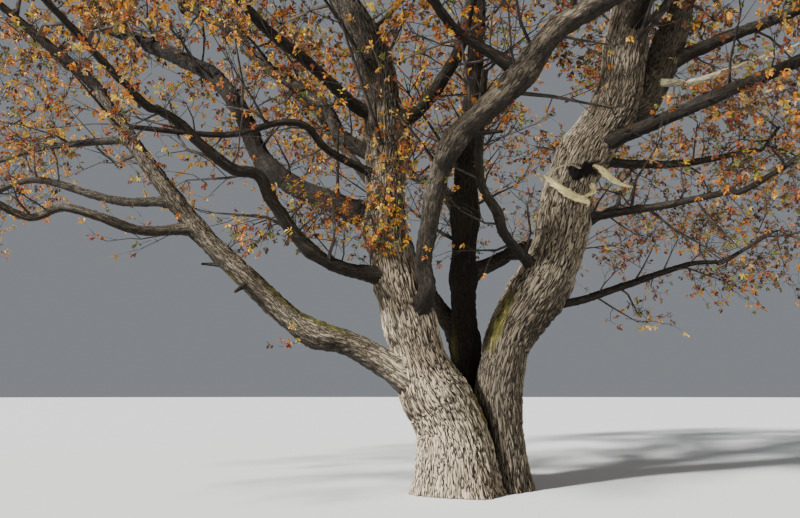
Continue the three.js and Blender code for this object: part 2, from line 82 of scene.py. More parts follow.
# Each bough: the limb that holds it, at what share of that limb's length, its runs and its girths.
branches = {
    "low_left": (
        "left", 0.15, [[1.5, 190, 29], [1, 192, 20], [2.15, 198, 41], [1.45, 194, 51], [1.5, 180, 53]],
        [0.25, 0.21, 0.2, 0.18, 0.16, 0.13, 0.115, 0.1]),
    "left_lower": ("low_left", 0.63, [
        [0.8, 208, -11], [0.6, 222, 9], [0.55, 201, 10], [0.45, 196, -23], [0.55, 230, 14],
    ], [0.085, 0.075, 0.06, 0.05]),
    "left_middle": (
        "low_left", 0.7, [[1.25, 161, 7], [1.7, 166, 17], [1.2, 156, -4]], [0.08, 0.07, 0.06, 0.045]),
    "left_upper": ("low_left", 0.87, [[2.7, 148, 9], [2, 147, 3]], [0.065, 0.06, 0.05, 0.04]),
    "high_left": (
        "left", 0.38, [[2.55, 159, 28], [1.75, 162, 59], [0.8, 156, 51], [0.8, 161, 41], [3.1, 163, 29]],
        [0.2, 0.19, 0.18, 0.17, 0.16, 0.15, 0.12]),
    "slim_left": (
        "left", 0.44, [[1.2, 214, 15], [0.55, 220, 34], [0.45, 209, -3], [0.95, 207, -24], [1.35, 207, -6]],
        [0.075, 0.065, 0.055, 0.045, 0.035]),
    "back_left_high": (
        "left", 0.47, [[1.2, 149, 34], [0.85, 155, 57], [2.15, 162, 41], [0.85, 158, 51], [1.5, 161, 36]],
        [0.14, 0.12, 0.11, 0.09]),
    "front_left_high": (
        "left", 0.55, [[0.5, 205, -4], [1.1, 218, 27], [1.1, 223, 19], [0.85, 239, 20]],
        [0.11, 0.1, 0.09, 0.07]),
    "front_left": ("left", 0.3, [
        [1.45, 212, 9], [1.1, 222, 38], [0.55, 221, 54], [0.45, 221, 1], [0.6, 229, 23], [0.35, 218, 36],
        [0.4, 231, 13],
    ], [0.13, 0.11, 0.1, 0.08, 0.06]),
    "inner_leader": (
        "left", 0.52, [[0.7, -16, 26], [0.85, -38, 40], [0.5, -50, 49], [1.25, -64, 60]],
        [0.14, 0.12, 0.11, 0.1, 0.08]),
    "front_arm": ("left", 0.24, [
        [0.75, -62, 41], [0.55, 258, 68], [1.25, -66, 66], [0.5, -53, 59], [0.5, -28, 47],
        [0.95, -27, 35], [0.85, -37, 42], [0.55, -38, 20], [1.05, -42, 7], [0.6, -63, 19],
    ], [0.15, 0.14, 0.14, 0.15, 0.165, 0.18, 0.19, 0.19, 0.17, 0.15, 0.13, 0.11]),
    "front_arm_branch": (
        "front_arm", 0.62, [[0.8, 190, 30], [0.5, 206, 23], [1, 236, 18], [0.75, 253, 15]],
        [0.09, 0.075, 0.065, 0.05]),
    "crossing_limb": (
        "right", 0.33, [[1.2, 223, 28], [0.5, 237, 46], [0.7, 213, 59], [1.65, -90, 57]],
        [0.1, 0.085, 0.075, 0.07, 0.05]),
    "left_front_high": ("left", 0.8, [[1.5, 263, 34], [1.7, 247, 28]], [0.13, 0.1, 0.07]),
    "back_left": (
        "back", 0.25, [[1.85, 135, 51], [2.2, 122, 55], [3.7, 137, 50]],
        [0.17, 0.16, 0.15, 0.13, 0.11, 0.08]),
    "back_low_right": (
        "back", 0.36, [[2.35, 46, 24], [2.35, 43, 20], [2, 42, 27]], [0.16, 0.13, 0.1, 0.07]),
    "back_middle": (
        "back", 0.47, [[2.15, 105, 36], [1.85, 108, 26], [1.7, 94, 35]], [0.16, 0.13, 0.1, 0.07]),
    "far_right_leader": ("right", 0.61, [[1.2, 18, 37], [3.8, 23, 62]], [0.31, 0.31, 0.3, 0.27, 0.2, 0.13]),
    "right_low": ("right", 0.3, [[0.75, 14, -6], [2.7, 20, 18], [0.95, 20, 10]], [0.075, 0.07, 0.06, 0.04]),
    "right_middle": (
        "right", 0.42, [[0.8, -24, 3], [1.05, -49, -4], [1.15, -59, -4]], [0.08, 0.075, 0.06, 0.045]),
    "right_high": ("right", 0.52, [[2.9, 30, 10], [3.05, 29, 17]], [0.1, 0.085, 0.07, 0.05]),
    "right_front": (
        "right", 0.54, [[2.4, -36, 11], [1.75, -40, 11], [1.5, -36, 23]], [0.14, 0.11, 0.09, 0.06]),
    "right_front_high": (
        "right", 0.73, [[2.05, -82, 29], [1.65, -75, 22], [1.45, -80, 33]], [0.15, 0.12, 0.1, 0.07]),
    "dead_limb": (
        "far_right_leader", 0.28, [[0.95, -80, -28], [0.4, -53, -15], [1.8, -46, 1]],
        [0.075, 0.07, 0.05, 0.035, 0.015]),
    "far_right_low": (
        "far_right_leader", 0.37, [[1.55, -5, 23], [1.3, -23, 13], [1.2, -17, 29]],
        [0.14, 0.12, 0.1, 0.07]),
    "right_back_high": ("far_right_leader", 0.51, [[1.95, 80, 18], [1.7, 75, 31]], [0.15, 0.12, 0.08]),
}

# Broken stubs on the boughs: at what share of the bough's length, the run and the girth at the foot.
snags = {
    "low_left": [(0.52, [0.5, 182, 2], 0.04), (0.47, [0.45, 250, -30], 0.045)],
    "front_arm": [(0.45, [0.66, -12, -2], 0.055)],
}

# Each mass at the end of a limb: the run from the tip to its heart, its reach in metres and its fullness.
masses = {
    "low_left": ([2.4, 208, 37], 2.6, 0.75),
    "left_lower": ([1.8, 212, 23], 2.2, 0.35),
    "left_middle": ([1.0, 186, 4], 1.9, 0.25),
    "left_upper": ([1.5, 122, 50], 2.3, 0.35),
    "high_left": ([1.1, 150, 58], 2.6, 0.75),
    "back_left_high": ([2.2, 179, 80], 2.6, 1),
    "front_left_high": ([2.3, 226, 37], 2.6, 1),
    "front_left": ([2.0, 234, 28], 2.3, 0.5),
    "left": ([2.4, 156, 84], 2.8, 1),
    "left_front_high": ([1.9, 247, 39], 2.6, 1),
    "inner_leader": ([2.5, -72, 68], 2.6, 1),
    "front_arm": ([2.2, -54, 27], 2.6, 1),
    "front_arm_branch": ([2.1, 258, 34], 2.6, 1),
    "back": ([2.9, 230, 87], 2.8, 1),
    "back_left": ([2.1, 133, 41], 2.9, 1),
    "right": ([2.8, -31, 82], 2.9, 1),
    "far_right_leader": ([2.4, 21, 61], 2.7, 1),
    "right_low": ([1.7, 16, 26], 2.2, 1),
    "right_middle": ([1.8, -39, 23], 2.1, 0.6),
    "right_high": ([1.3, 27, 37], 2.6, 1),
    "back_low_right": ([1.3, 56, 36], 2.8, 1),
    "back_middle": ([2.0, 84, 63], 3.0, 1),
    "right_front_high": ([1.5, -54, 70], 2.6, 1),
    "right_back_high": ([1.6, 85, 52], 2.8, 1),
    "far_right_low": ([1.2, -14, 47], 2.6, 1),
    "right_front": ([1.4, -39, 22], 2.5, 1),
}


# Scatter is repeatable. Each use has a stream of its own, so that one draw doesn't follow another.
streams = {
    "middle": 7, "knots": 8, "shootWay": 11, "shootLength": 12, "clumpWay": 15, "clumpReach": 16,
    "sidePlace": 21, "sideWay": 22, "sideLength": 23, "twigWay": 24, "twigLength": 25, "leafSide": 31,
    "leafTurn": 32, "leafTilt": 33, "leafFace": 34, "leafLength": 35, "tint": 36, "bare": 41,
}


def scatter(count, stream):  # between 0 and 1
    seed = streams.get(stream, stream)
    wave = np.sin(np.asarray(count) * 12.9898 + seed * 78.233) * 43758.5453
    return wave - np.floor(wave)


def looseWay(draw, stream):  # three numbers between -0.5 and 0.5
    return scatter(np.asarray(draw)[..., None] + np.arange(3), stream) - 0.5


def between(ends, share):
    return ends[0] + (ends[1] - ends[0]) * share


def grown(pair, amount):  # a start and what each unit of the amount adds
    return pair[0] + pair[1] * amount


def around(turn, first, second):  # the way at this turn between two square ways
    return np.cos(turn)[:, None] * first + np.sin(turn)[:, None] * second


def runVector(run):
    length, bearing, rise = run
    level = length * math.cos(math.radians(rise))
    turn = math.radians(bearing)
    return np.array([level * math.cos(turn), level * math.sin(turn), length * math.sin(math.radians(rise))])


def lengths(vectors):
    return np.linalg.norm(vectors, axis=-1)


def unit(vectors):
    return vectors / np.maximum(lengths(vectors)[..., None], 1e-9)


def valueAt(values, share):  # of values spaced evenly from root to tip
    return np.interp(np.asarray(share) * (len(values) - 1), range(len(values)), values)


class Limb:  # a smooth line through points, measured along its length, with its girths
    samples, step = 40, 0.004  # places on each run, share of the length for a heading

    def __init__(self, points, girths, hold=0):  # hold is the girth of its holder where it leaves
        points = np.array(points, float)
        ends = np.vstack([2 * points[0] - points[1], points, 2 * points[-1] - points[-2]])
        share = np.linspace(0, 1, self.samples, endpoint=False)[:, None]
        spans = []
        for a, b, c, d in zip(ends, ends[1:], ends[2:], ends[3:]):
            leaving = (c - a) / 2
            arriving = (d - b) / 2
            square = 3 * (c - b) - 2 * leaving - arriving
            cube = 2 * (b - c) + leaving + arriving
            spans.append(b + leaving * share + square * share**2 + cube * share**3)
        self.points = np.vstack(spans + [points[-1:]])
        steps = lengths(np.diff(self.points, axis=0))
        self.marks = np.concatenate([[0], np.cumsum(steps)])
        self.length = self.marks[-1]
        self.girths = girths
        self.hold = hold

    def at(self, share):
        place = np.asarray(share, float) * self.length
        return np.stack([np.interp(place, self.marks, self.points[:, axis]) for axis in range(3)], axis=-1)

    def heading(self, share):
        share = np.asarray(share, float)
        return unit(self.at(np.minimum(share + self.step, 1)) - self.at(np.maximum(share - self.step, 0)))

    def girth(self, share):
        return valueAt(self.girths, share)


def runPoints(start, runs):
    points = [np.array(start, float)]
    for run in runs:
        points.append(points[-1] + runVector(run))
    return points


def boughOn(parent, at, runs, girths):
    holder = limbs[parent]
    return Limb(runPoints(holder.at(at), runs), girths, holder.girth(at))


limbs = {name: Limb(runPoints(stem["foot"], stem["runs"]), stem["girths"]) for name, stem in stems.items()}
for name, branch in branches.items():
    limbs[name] = boughOn(*branch)
print("limb lines:", len(limbs))


class Socket:  # wraps a node's output, so that its maths reads as maths
    def __init__(self, tree, output=None):
        self.tree = tree
        self.output = output

    def add(self, kind, settings, inputs, out=0):
        node = self.tree.nodes.new(kind)
        for name, value in settings.items():
            setattr(node, name, value)
        for key, value in inputs.items():
            if isinstance(value, Socket):
                self.tree.links.new(value.output, node.inputs[key])
            else:
                node.inputs[key].default_value = value
        return Socket(self.tree, node.outputs[out] if node.outputs else None)

    def maths(self, operation, first, second):
        return self.add("ShaderNodeMath", {"operation": operation}, {0: first, 1: second})

    def __add__(self, other):
        return self.maths("ADD", self, other)

    def __sub__(self, other):
        return self.maths("SUBTRACT", self, other)

    def __rsub__(self, other):
        return self.maths("SUBTRACT", other, self)

    def __mul__(self, other):
        return self.maths("MULTIPLY", self, other)

    __radd__ = __add__
    __rmul__ = __mul__

    def band(self, low, high):  # 0 below low, 1 above high, smooth between
        settings = {"interpolation_type": "SMOOTHSTEP"}
        return self.add("ShaderNodeMapRange", settings, {"Value": self, "From Min": low, "From Max": high})

    def fade(self, share):  # 1 where this is 1, less by the share where it is 0
        return 1 - share + share * self

    def vector(self, operation, inputs):
        return self.add("ShaderNodeVectorMath", {"operation": operation}, inputs)

    def noise(self, scale, detail, out=0):
        return self.add("ShaderNodeTexNoise", {}, {"Vector": self, "Scale": scale, "Detail": detail}, out)

    def part(self, axis):  # one number of a vector
        return self.add("ShaderNodeSeparateXYZ", {}, {0: self}, axis)

    def mix(self, first, second):  # this mask lays the second colour over the first
        return self.add("ShaderNodeMix", {"data_type": "RGBA"}, {0: self, 6: first, 7: second}, 2)


def paint(red, green, blue):  # a colour as seen on screen, 0 to 255, made linear
    shares = [value / 255 for value in (red, green, blue)]
    return (*[s / 12.92 if s < 0.04 else ((s + 0.055) / 1.055) ** 2.4 for s in shares], 1)


# Bark: ridges between winding cracks, drawn by one rule in the relief of the mesh and in the finish. The
# rule reads barkSpace, a place on the limb in ridge widths, so that ridges keep their size round any limb.
# Painted shade is laid in among these colours: the near-black browns darken the undersides, the shaded
# limbs, the hollows and the crotch between the stems, and the crack colour is partly the cracks' own dark,
# partly painted shade in them.
barkLook = {
    "ridge": paint(190, 174, 148), "ridgeGrey": paint(156, 140, 117), "crackAndShade": paint(22, 17, 13),
    "moss": paint(124, 116, 48), "mossDark": paint(78, 74, 34), "paintedShade": paint(27, 22, 18),
    "lichen": paint(190, 185, 164), "recessShade": paint(24, 18, 15), "roughness": 0.92, "shine": 0.25,
    "width": (0.021, 0.062), "girthLimit": 0.45,  # a ridge's width, and what a metre of girth adds to it
    "depth": (0.012, 0.045), "depthLimit": 0.034, "slimFrom": 0.12, "slimLeast": 0.25,
    "stretch": 0.09, "steps": 200, "apart": 31, "creviceShadeReach": 0.13, "creviceShadeKnots": (0, 0.5, 60),
    "wander": (1.8, 1.8, 0.6), "strandScale": 2.1, "bump": (0.025, 0.9), "lowest": (-99, -99, 0),
    "noises": {  # scale and detail of each pattern
        "wander": (0.4, 2), "cracks": (1.2, 0.8), "grain": (3.2, 8), "weather": (0.9, 2), "lichen": (5, 3),
        "paintedShade": (2.3, 4), "patches": (7, 6), "raggedShade": (9, 5),
    },
    "bands": {  # from where to where each pattern comes in
        "cracks": (-0.015, 0.055), "lift": (0, 0.1), "strands": (-0.06, 0.2), "ridges": (0.4, 1.02),
        "weather": (0.4, 0.66), "grain": (0.55, 0.75), "lichen": (0.5, 0.62), "paintedShade": (0.26, -0.45),
        "moss": (0.34, 0.62), "patches": (0.35, 0.65), "raggedShade": (1.0, 1.45),
    },
    "amounts": {  # how much each pattern counts for
        "strands": 0.3, "sunk": 0.4, "height": 0.74, "grain": 0.62, "even": 0.34, "paintedShade": 0.6, "under": 0.9,
        "shade": 0.97, "moss": 0.4, "mossHeight": 0.45, "recessShade": 1.3, "raggedShade": 1.2, "bumpGrain": 0.5,
    },
}
noises, bands, amounts = barkLook["noises"], barkLook["bands"], barkLook["amounts"]


def barkGap(space):  # 0 on the line of a crack, rising away from it
    wander = space.noise(*noises["wander"], 1)
    bent = space.vector("MULTIPLY_ADD", {0: wander, 1: barkLook["wander"], 2: space})
    waves = bent.noise(*noises["cracks"], 1)
    gaps = [waves.maths("ABSOLUTE", waves.part(axis) - 0.5, 0) for axis in range(3)]
    return waves.maths("MINIMUM", waves.maths("MINIMUM", gaps[0], gaps[1]), gaps[2])


def barkHeight(space):  # 0 in a crack, 1 on top of a ridge
    cells = {"Vector": space, "Scale": barkLook["strandScale"]}
    edges = space.add("ShaderNodeTexVoronoi", {"feature": "DISTANCE_TO_EDGE"}, cells)
    return barkGap(space).band(*bands["cracks"]) * edges.band(*bands["strands"]).fade(amounts["strands"])


def barkRelief():  # lifts a limb's skin by the bark's height, not below the ground
    group = bpy.data.node_groups.new("barkRelief", "GeometryNodeTree")
    for way in ("INPUT", "OUTPUT"):
        group.interface.new_socket("Geometry", in_out=way, socket_type="NodeSocketGeometry")
    start = Socket(group)
    skin = start.add("NodeGroupInput", {}, {})
    space, depth = [
        start.add("GeometryNodeInputNamedAttribute", {"data_type": kind}, {"Name": name})
        for name, kind in (("barkSpace", "FLOAT_VECTOR"), ("barkDepth", "FLOAT"))
    ]
    normal = start.add("GeometryNodeInputNormal", {}, {})
    place = start.add("GeometryNodeInputPosition", {}, {})
    lift = (barkGap(space).band(*bands["lift"]) - amounts["sunk"]) * depth
    scaled = start.vector("SCALE", {0: normal, "Scale": lift})
    moved = start.vector("ADD", {0: place, 1: scaled})
    above = start.vector("MAXIMUM", {0: moved, 1: barkLook["lowest"]})
    raised = start.add("GeometryNodeSetPosition", {}, {0: skin, "Position": above})
    start.add("NodeGroupOutput", {}, {0: raised})
    return group


def newFinish(name):
    material = bpy.data.materials.new(name)
    material.use_nodes = True
    material.node_tree.nodes.clear()
    return material, Socket(material.node_tree)


def closeFinish(start, look):  # one shader with these values and patterns
    start.add("ShaderNodeOutputMaterial", {}, {0: start.add("ShaderNodeBsdfPrincipled", {}, look)})


def stored(start, name, out=2):  # a mark of the mesh, as a number or from output 1 as a vector
    return start.add("ShaderNodeAttribute", {"attribute_name": name}, {}, out)


def objectPlace(start):
    return start.add("ShaderNodeTexCoord", {}, {}, 3)


def bumped(height, distance, strength):
    return height.add("ShaderNodeBump", {}, {"Height": height, "Distance": distance, "Strength": strength})


def barkFinish():
    material, start = newFinish("oakBark")
    space, place = stored(start, "barkSpace", 1), objectPlace(start)
    height, grain = barkHeight(space), space.noise(*noises["grain"])
    weather = place.noise(*noises["weather"]).band(*bands["weather"])
    spots = grain.band(*bands["grain"]) * place.noise(*noises["lichen"]).band(*bands["lichen"])
    dry = spots.mix(weather.mix(barkLook["ridge"], barkLook["ridgeGrey"]), barkLook["lichen"])
    depth = stored(start, "barkDepth") * (1 / barkLook["depthLimit"])
    # Ridge tops light and cracks dark: partly the bark's own darker cracks, partly painted shade in the
    # cracks and on the ridges' flanks.
    ridged = (height * amounts["height"] + grain * amounts["grain"]).band(*bands["ridges"])
    even = amounts["even"]  # shallow bark shows less of its cracks
    lit = ((1 - depth) * even + ridged * depth.fade(even)).mix(barkLook["crackAndShade"], dry)
    # Painted shade: faces that point downwards are darkened towards the near-black shade colour, with noise
    # in its edge.
    upward = start.add("ShaderNodeNewGeometry", {}, {}, 1).part(2)
    paintedShade = (upward + amounts["paintedShade"] * place.noise(*noises["paintedShade"])).band(*bands["paintedShade"])
    # Painted shade: each limb's stored share darkens the bark towards the shade colour, most on the limbs in
    # the crown's shade.
    limbShade = stored(start, "limbShadeShare")
    underShaded = (paintedShade * amounts["under"]).mix(lit, barkLook["paintedShade"])
    shaded = (limbShade * (2 - limbShade) * amounts["shade"]).mix(underShaded, barkLook["paintedShade"])
    patch = place.noise(*noises["patches"])
    mossy = (stored(start, "mossShare") * (amounts["moss"] + patch)).band(*bands["moss"])
    mossy = mossy * height.fade(amounts["mossHeight"])
    green = mossy.mix(shaded, patch.band(*bands["patches"]).mix(barkLook["moss"], barkLook["mossDark"]))
    # Painted shade: the dark of the torn-off wound and the hollows, with ragged noise at its edges, then the
    # shade where the stems meet.
    torn = stored(start, "hollowShadeShare") * amounts["recessShade"] + place.noise(*noises["raggedShade"]) * amounts["raggedShade"]
    recessShadeMask = (stored(start, "creviceShadeShare") + torn.band(*bands["raggedShade"])).band(0, 1)
    closeFinish(start, {
        "Base Color": recessShadeMask.mix(green, barkLook["recessShade"]),
        "Normal": bumped(height + amounts["bumpGrain"] * grain, *barkLook["bump"]),
        "Roughness": barkLook["roughness"], "Specular IOR Level": barkLook["shine"],
    })
    return material


relief = barkRelief()
oakBark = barkFinish()


def ringFrames(limb, shares):  # the centre and two square directions of each ring
    ways = limb.heading(shares)
    sideways = [unit(np.cross(ways[0], (0, 1, 0)))]
    for way in ways[1:]:
        last = sideways[-1]
        sideways.append(unit(last - way * (last @ way)))
    sideways = np.array(sideways)
    return limb.at(shares), sideways, np.cross(ways, sideways)


# Rolls a flat grid into a limb's skin: x runs round the limb and y along it. The girth follows girthOf, a
# function of the turn and of the length along the limb. An evenness over 1 sets rings closer near the foot.
def rolledSkin(name, limb, girthOf, sides, ring, evenness=1, leastRows=4):
    rows = max(leastRows, round(limb.length / ring))
    sheet = bmesh.new()
    bmesh.ops.create_grid(sheet, x_segments=sides, y_segments=rows, size=1)
    mesh = bpy.data.meshes.new(name)
    sheet.to_mesh(mesh)
    flat = np.zeros(len(mesh.vertices) * 3, np.float32)
    mesh.vertices.foreach_get("co", flat)
    flat = flat.reshape(-1, 3)
    row = np.rint((flat[:, 1] + 1) / 2 * rows).astype(int)
    turn = -math.pi * flat[:, 0]
    shares = np.linspace(0, 1, rows + 1) ** evenness
    centres, sideways, upways = ringFrames(limb, shares)
    along = shares[row] * limb.length
    placed = centres[row] + around(turn, sideways[row], upways[row]) * girthOf(turn, along)[:, None]
    mesh.vertices.foreach_set("co", placed.astype(np.float32).ravel())
    sheet.free()
    return mesh, turn, along, placed


def mark(mesh, name, values):  # stores a value or a vector at each vertex
    kind = "FLOAT_VECTOR" if values.ndim == 2 else "FLOAT"
    layer = mesh.attributes.new(name, kind, "POINT")
    layer.data.foreach_set("vector" if values.ndim == 2 else "value", values.astype(np.float32).ravel())


def closeSkin(mesh, groundCut=False, seam=0.0001):  # joins the seam, closes the ends, cuts it at the ground
    skin = bmesh.new()
    skin.from_mesh(mesh)
    bmesh.ops.remove_doubles(skin, verts=skin.verts, dist=seam)
    if groundCut:
        parts = skin.verts[:] + skin.edges[:] + skin.faces[:]
        bmesh.ops.bisect_plane(skin, geom=parts, plane_co=(0, 0, 0), plane_no=(0, 0, 1), clear_inner=True)
    rims = [edge for edge in skin.edges if edge.is_boundary]
    bmesh.ops.holes_fill(skin, edges=rims, sides=0)
    bmesh.ops.recalc_face_normals(skin, faces=skin.faces)
    skin.to_mesh(mesh)
    skin.free()
    mesh.shade_smooth()


def nearness(places, start, end, reach):  # 1 on the line from start to end, fading to 0 at its reach
    start, way = np.array(start), np.array(end) - np.array(start)
    share = np.clip((places - start) @ way / max(way @ way, 1e-9), 0, 1)
    return np.clip(1 - lengths(places - start - share[:, None] * way) / reach, 0, 1)


# How a limb's skin departs from a plain taper, in shares of its girth. A wave has its size, its count round
# the limb, its pitch along it and how far the limb's own number shifts it.
skinShape = {
    "waves": [(0.04375, 1, 0.9, 2.1), (0.02625, -2, 1.7, 1), (0.025, 3, 0.35, 1), (0.015, 5, -0.5, 2)],
    "pitchGirth": 0.15, "collar": 0.3, "collarReach": 1.6, "rootSpread": 0.4, "spreadLength": 1.1,
    "spreadAdded": 0.08, "spreadFall": 1.5, "sunkTo": 0.85, "within": 0.93,
    "flareHeight": 0.3, "flareSpread": 0.1, "flareWaves": [(0.08, 4, 0, 1), (0.04, 7, 0, 2)],
}
# Swellings: where along the limb, how much and over how many metres.
burls = {
    "low_left": [(0.29, 0.16, 0.3)], "front_arm": [(0.43, 0.18, 0.22), (0.62, 0.1, 0.25)],
    "high_left": [(0.3, 0.12, 0.25)], "crossing_limb": [(0.4, 0.2, 0.15)], "front_left": [(0.35, 0.2, 0.15)],
}


def ripple(waves, turn, along, seed):
    return sum(
        size * np.sin(count * turn + pitch * along + shift * seed) for size, count, pitch, shift in waves)


def girthRule(name, seed):
    limb = limbs[name]
    swells = list(burls.get(name, []))
    for parent, at, _, girths in branches.values():  # a collar where a bough leaves
        if parent == name:
            swell = skinShape["collar"] * girths[0] / limb.girth(at)
            swells.append((at, swell, skinShape["collarReach"] * girths[0]))

    def girthOf(turn, along):
        plain = limb.girth(along / limb.length)
        shape = 1 + ripple(skinShape["waves"], turn, along / max(plain[0], skinShape["pitchGirth"]), seed)
        for at, swell, reach in swells:
            shape = shape + swell * np.exp(-(((along - at * limb.length) / reach) ** 2))
        if not limb.hold:
            return plain * shape
        past = along - skinShape["sunkTo"] * limb.hold  # a bough spreads into the limb that holds it
        past = past / (skinShape["spreadLength"] * (plain[0] + skinShape["spreadAdded"]))
        spread = 1 + skinShape["rootSpread"] * np.exp(-np.clip(past, 0, None) ** skinShape["spreadFall"])
        inside = np.where(past < 0, skinShape["within"] * limb.hold, np.inf)
        return np.minimum(plain * shape * spread, inside)

    return girthOf


def flareRule(name, seed):  # the stems' feet spread out and run into root ridges
    girthOf = girthRule(name, seed)
    foot = stems[name]["foot"]

    def flared(turn, along):
        fall = np.exp(-np.clip(along + foot[2], 0, None) / skinShape["flareHeight"])
        spread = skinShape["flareSpread"] + ripple(skinShape["flareWaves"], turn, 0, seed)
        return girthOf(turn, along) * (1 + fall * spread)

    return flared


def ridgeWidth(girth):  # in metres
    return grown(barkLook["width"], np.minimum(girth, barkLook["girthLimit"]))


def barkMarks(mesh, name, turn, along, placed, seed):
    limb = limbs[name]
    girth = limb.girth(along / limb.length)
    width = ridgeWidth(girth)
    steps = np.linspace(0, limb.length, barkLook["steps"])
    lap = barkLook["stretch"] * limb.length / barkLook["steps"]
    passed = np.cumsum(lap / ridgeWidth(limb.girth(steps / limb.length)))
    lengthwise = np.interp(along, steps, passed) + barkLook["apart"] * seed
    space = [np.cos(turn) * girth / width, np.sin(turn) * girth / width, lengthwise]
    mark(mesh, "barkSpace", np.stack(space, axis=1))
    depth = np.minimum(barkLook["depthLimit"], grown(barkLook["depth"], girth))
    mark(mesh, "barkDepth", depth * np.clip(girth / barkLook["slimFrom"], barkLook["slimLeast"], 1))
    # Painted shade along each limb, partly also darker damp bark.
    mark(mesh, "limbShadeShare", valueAt(limbShades.get(name, plainLimbShade), along / limb.length))
    # Moss where it grows, and painted shade in the torn-off wound and the hollows.
    for label, strips in (("mossShare", mossStrips), ("hollowShadeShare", hollowShadeStrips)):
        share = np.zeros(len(along))
        for start, end, reach in strips:
            share = np.maximum(share, nearness(placed, start, end, reach))
        mark(mesh, label, share)
    # Painted shade where two stems meet: the bark near another stem's surface is darkened, as a shadow in
    # the crotch.
    creviceShade = np.zeros(len(along))  # dark where two stems meet
    for other in stems:
        if other != name and name in stems:
            shares = np.linspace(*barkLook["creviceShadeKnots"])
            gaps = lengths(placed[:, None] - limbs[other].at(shares)) - limbs[other].girth(shares)
            creviceShade = np.maximum(creviceShade, np.clip(1 - gaps.min(axis=1) / barkLook["creviceShadeReach"], 0, 1))
    mark(mesh, "creviceShadeShare", creviceShade)


# Where moss grows, and where bark is torn off or hollow, with shade painted in: a line from start to end and
# a reach about it.
mossStrips = [
    ((0.0, -0.3, 1.5), (0.2, -0.35, 1.15), 0.2), ((0.2, -0.35, 1.15), (0.42, -0.4, 0.65), 0.16),
    ((0.6, -0.2, 3.25), (0.23, -0.25, 2.35), 0.34), ((-0.34, 0.4, 2.2), (-0.36, 0.4, 2.9), 0.32),
    ((-2.2, -0.5, 2.5), (-3.9, -0.9, 3.5), 0.3), ((1.1, -0.1, 3.6), (1.7, -0.1, 4.4), 0.3),
]
hollowShadeStrips = [
    ((1.9, -0.35, 5.42), (2.35, -0.32, 5.5), 0.3), ((0.52, -0.4, 0.62), (0.5, -0.35, 0.4), 0.22),
    ((0.19, -0.3, 2.3), (0.19, -0.3, 2.3), 0.1),
]

# Painted shade on the bark from each limb's root to its tip, 0 to 1, partly also darker damp bark. The crown
# shades the upper limbs.
limbShades = {
    "left": [0, 0, 0.1, 0.3, 0.65, 0.65, 0.6], "right": [0.3, 0.38, 0.25, 0.1, 0.3, 0.45, 0.5],
    "back": [0.9, 0.8, 0.7], "back_left": [0.7, 0.6, 0.6], "low_left": [0.1, 0.14, 0.16, 0.3, 0.5],
    "front_arm": [0.75, 0.6, 0.35, 0.25, 0.5], "far_right_leader": [0.5, 0.45], "right_front": [0.75, 0.9],
    "right_low": [0.8, 0.8], "crossing_limb": [0.7, 0.6], "high_left": [0.8, 0.85, 0.8],
    "back_left_high": [0.6, 0.7], "left_lower": [0.35, 0.4], "left_middle": [0.5, 0.6],
}
# Painted shade of every limb not listed above.
plainLimbShade = [0.65, 0.65]

# The stems' skins are the finest, because they show from close by: each has its number of sides, the spacing
# of its rings and the nodes that it replaces.
stemSkins = {
    "left": (176, 0.026, ["trunk", "left_stem", "left_leader"]),
    "right": (160, 0.026, ["right_stem", "right_leader"]),
    "back": (84, 0.04, ["back_stem"]),
}
stemEvenness = 1.15
boughSkins = {"faceWidth": 0.028, "ring": 0.036, "leastSides": 12}
firstSeeds = {"boughs": 5, "snags": 40, "deadTwig": 50, "massStems": 60}


def newObject(name, data):
    thing = bpy.data.objects.new(name, data)
    bpy.context.scene.collection.objects.link(thing)
    return thing


def addPiece(name, mesh, finish, nodes, bark=False):
    piece = newObject(name, mesh)
    mesh.materials.append(finish)
    if bark:
        piece.modifiers.new("bark relief", "NODES").node_group = relief
    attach(piece, "root")
    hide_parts(*nodes)


def joinMeshes(name, meshes):  # one mesh of several, their marks kept
    whole = bmesh.new()
    for mesh in meshes:
        whole.from_mesh(mesh)
    joined = bpy.data.meshes.new(name)
    whole.to_mesh(joined)
    whole.free()
    joined.shade_smooth()
    for mesh in meshes:
        bpy.data.meshes.remove(mesh)
    return joined


for seed, (name, (sides, ring, nodes)) in enumerate(stemSkins.items()):
    piece = name + "StemBark"
    mesh, *places = rolledSkin(piece, limbs[name], flareRule(name, seed), sides, ring, stemEvenness)
    barkMarks(mesh, name, *places, seed)
    closeSkin(mesh, groundCut=True)
    addPiece(piece, mesh, oakBark, nodes, bark=True)
print("stems skinned")


def limbSkin(name, seed):
    sides = round(2 * math.pi * limbs[name].girths[0] / boughSkins["faceWidth"])
    sides = max(boughSkins["leastSides"], sides)
    mesh, *places = rolledSkin(name, limbs[name], girthRule(name, seed), sides, boughSkins["ring"])
    barkMarks(mesh, name, *places, seed)
    closeSkin(mesh)
    return mesh


snagTaper = np.array([1, 0.85, 0.45])  # the girths of a broken stub
boughMeshes = {name: limbSkin(name, seed + firstSeeds["boughs"]) for seed, name in enumerate(branches)}
for name, stubs in snags.items():
    for count, (at, run, girth) in enumerate(stubs):
        snag = f"{name}_snag_{count}"
        limbs[snag] = boughOn(name, at, [run], girth * snagTaper)
        boughMeshes[snag] = limbSkin(snag, firstSeeds["snags"] + count)

